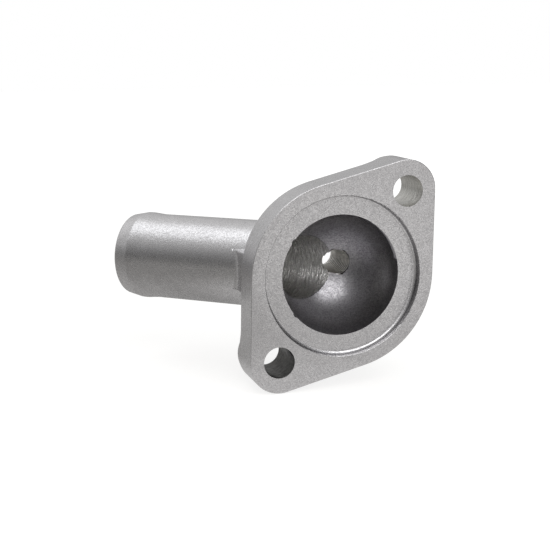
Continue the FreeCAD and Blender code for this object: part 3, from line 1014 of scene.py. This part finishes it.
@dataclass
class Studio:
    """The pale floor, the soft light and the camera.

    Floor and world are white to the camera. In the metal, the floor glows in front of the casting, behind
    it and close below it, and the world is brightest above and behind. A reach is where one strength of a
    glow goes over into the other: a distance for the seen and the close glow, and for the rest the cosine
    of the angle to a direction.
    """

    floor_size: float = 6.0
    floor_gap: float = 0.2 * MM
    floor_tone: Triple = (0.36, 0.353, 0.341)
    floor_roughness: float = 0.9
    seen_reach: Pair = (0.25, 0.75)
    seen_glow: Pair = (0.78, 1.0)
    front_way: Triple = (0.45, -0.89, 0.0)
    front_reach: Pair = (0.78, 0.97)
    front_glow: Pair = (0.0, 0.46)
    rear_reach: Pair = (-0.95, -0.7)
    rear_glow: Pair = (0.2, 0.0)
    close_reach: Pair = (0.04, 0.11)
    close_glow: Pair = (0.46, 0.0)
    backdrop_way: Triple = (-0.25, 0.55, 0.8)
    backdrop_reach: Pair = (0.1, 1.05)
    backdrop_glow: Pair = (0.09, 0.75)
    aim: Triple = (-0.015, 0.03, 0.0)
    lens: float = 79.5
    film_width: float = 36.0
    nearest: float = 0.01
    camera_place: Triple = (-0.13178, -0.37430, 0.07476)
    camera_right: Triple = (0.96047, -0.27831, -0.00656)
    camera_up: Triple = (0.05730, 0.17458, 0.98297)

    def build(self) -> None:
        """Set the whole stage."""
        self.floor()
        self.world()
        for box in SOFT_BOXES:
            box.hang(Vector(self.aim))
        self.camera()
        bpy.context.scene.view_settings.view_transform = "Standard"

    def floor(self) -> None:
        """Lay the pale floor just below the casting."""
        deselect_all()
        lowest = CAD_BOX[0].z - self.floor_gap
        bpy.ops.mesh.primitive_plane_add(size=self.floor_size, location=(0.0, 0.0, lowest))
        floor = bpy.context.active_object
        floor.name = "studio_floor"
        settle(floor)
        floor.data.materials.append(self.floor_material())

    def floor_material(self) -> bpy.types.Material:
        """Make the floor's material.

        Returns:
            A dull grey that glows white to the camera and more faintly in the metal.
        """
        material = bpy.data.materials.new("pale_floor")
        material.use_nodes = True
        build = NodeBuilder(material.node_tree)
        shader = material.node_tree.nodes["Principled BSDF"]
        shader.inputs["Base Color"].default_value = (*self.floor_tone, 1.0)
        shader.inputs["Roughness"].default_value = self.floor_roughness
        shader.inputs["Specular IOR Level"].default_value = 0.0
        place = build.place()
        away = build.vector_math("LENGTH", place).outputs["Value"]
        bearing = build.vector_math("NORMALIZE", place).outputs["Vector"]
        ahead = build.vector_math("DOT_PRODUCT", bearing, self.front_way).outputs["Value"]
        front = build.spread(ahead, self.front_reach, self.front_glow)
        rear = build.spread(ahead, self.rear_reach, self.rear_glow)
        close = build.spread(away, self.close_reach, self.close_glow)
        mirrored = build.math("MAXIMUM", build.math("MAXIMUM", front, rear), close)
        seen = build.spread(away, self.seen_reach, self.seen_glow)
        ray = build.add("ShaderNodeLightPath")
        by_mirror = build.math("MAXIMUM", ray.outputs["Is Glossy Ray"], ray.outputs["Is Transmission Ray"])
        to_camera = build.math("MULTIPLY", ray.outputs["Is Camera Ray"], seen)
        to_metal = build.math("MULTIPLY", by_mirror, mirrored)
        glow = build.add("ShaderNodeEmission")
        build.feed_named(glow, Strength=build.math("ADD", to_camera, to_metal))
        both = build.add("ShaderNodeAddShader")
        build.feed(both.inputs[0], shader.outputs["BSDF"])
        build.feed(both.inputs[1], glow.outputs["Emission"])
        build.feed_named(material.node_tree.nodes["Material Output"], Surface=both.outputs["Shader"])
        return material

    def world(self) -> None:
        """Light the scene from a pale backdrop above and behind the casting, and dimly from all round."""
        world = bpy.data.worlds.new("soft_room")
        bpy.context.scene.world = world
        world.use_nodes = True
        build = NodeBuilder(world.node_tree)
        way = build.add("ShaderNodeTexCoord").outputs["Generated"]
        brightest = Vector(self.backdrop_way).normalized()
        toward = build.vector_math("DOT_PRODUCT", way, brightest).outputs["Value"]
        room = build.spread(toward, self.backdrop_reach, self.backdrop_glow)
        seen = build.add("ShaderNodeLightPath").outputs["Is Camera Ray"]
        back = world.node_tree.nodes["Background"]
        build.feed_named(back, Color=(1.0, 1.0, 1.0, 1.0), Strength=build.math("MAXIMUM", seen, room))

    def camera(self) -> None:
        """Stand the camera where the picture was taken from."""
        data = bpy.data.cameras.new("camera")
        data.lens = self.lens
        data.sensor_width = self.film_width
        data.clip_start = self.nearest
        camera = bpy.data.objects.new("camera", data)
        bpy.context.scene.collection.objects.link(camera)
        right, up = Vector(self.camera_right).normalized(), Vector(self.camera_up).normalized()
        turn = Matrix((right, up, right.cross(up))).transposed().to_4x4()
        camera.matrix_world = Matrix.Translation(self.camera_place) @ turn
        bpy.context.scene.camera = camera


def finishes(forms: MachinedForms, thread: SensorThread) -> dict[Surface, bpy.types.Material]:
    """Make the material of each kind of surface.

    Args:
        forms: The machined cavities, for the bore's tilt.
        thread: The sensor port's thread, for its centre.

    Returns:
        The materials by kind.
    """
    kinds = {
        Surface.CAST: BlastedFinish(
            name="cast_blasted",
            tone=(0.735, 0.724, 0.732),
            dark_tone=(0.535, 0.526, 0.532),
            roughness=0.3,
            grain_size=0.35 * MM,
            grain_depth=0.04 * MM,
        ),
        Surface.FACED: BlastedFinish(
            name="faced_blasted",
            tone=(0.725, 0.713, 0.722),
            dark_tone=(0.515, 0.505, 0.512),
            roughness=0.32,
            grain_size=0.33 * MM,
            grain_depth=0.015 * MM,
        ),
        # The inside of the dome: the cast finish, with both tones darkened as painted shade.
        Surface.CHAMBER: BlastedFinish(
            name="chamber_painted_shade",
            tone=(0.445, 0.435, 0.452),
            dark_tone=(0.235, 0.228, 0.24),
            roughness=0.36,
            grain_size=0.35 * MM,
            grain_depth=0.02 * MM,
        ),
        Surface.BORED: CutFinish(
            name="bored",
            tone=(0.9, 0.89, 0.87),
            dark_tone=(0.48, 0.47, 0.46),
            roughness=0.3,
            feed=0.6 * MM,
            wander=0.22,
            mark_depth=0.38 * MM,
            tilt=forms.spigot_tilt,
        ),
        Surface.DRILLED: CutFinish(
            name="drilled",
            tone=(0.7, 0.69, 0.655),
            dark_tone=(0.47, 0.46, 0.435),
            roughness=0.3,
            feed=0.4 * MM,
            wander=0.12,
            mark_depth=0.04 * MM,
        ),
        # The thread: a painted highlight on its crests and painted shade at its roots.
        Surface.TAPPED: ThreadPaintedLight(
            name="tapped",
            tone=(1.0, 0.98, 0.94),
            dark_tone=(0.1, 0.095, 0.085),
            roughness=0.3,
            centre=(thread.centre_x, 0.0, thread.centre_z),
        ),
        # The lower bolt hole: drilled like the upper one, with near-black tones that are painted shade.
        Surface.TARNISHED: CutFinish(
            name="lower_hole_painted_shade",
            tone=(0.07, 0.067, 0.061),
            dark_tone=(0.03, 0.029, 0.027),
            roughness=0.34,
            feed=0.5 * MM,
            wander=0.3,
            mark_depth=0.04 * MM,
        ),
        # The turned recess wall: smoother than the blast, with a darker tone that is painted shade.
        Surface.TURNED: BlastedFinish(
            name="turned",
            tone=(0.4, 0.395, 0.402),
            dark_tone=(0.3, 0.296, 0.302),
            roughness=0.18,
            grain_size=0.33 * MM,
            grain_depth=0.01 * MM,
        ),
    }
    effects = SurfaceEffects()
    return {surface: finish.build(effects) for surface, finish in kinds.items()}


def main() -> None:
    """Build the casting and the stage."""
    logging.basicConfig(level=logging.INFO, format="%(name)s: %(message)s")
    casting = HousingCasting()
    piece = casting.build(finishes(casting.forms, casting.thread))
    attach(piece, "root")
    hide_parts("housing")
    log.info("%s has %d faces", piece.name, len(piece.data.polygons))
    Studio().build()


if __name__ == "__main__":
    main()
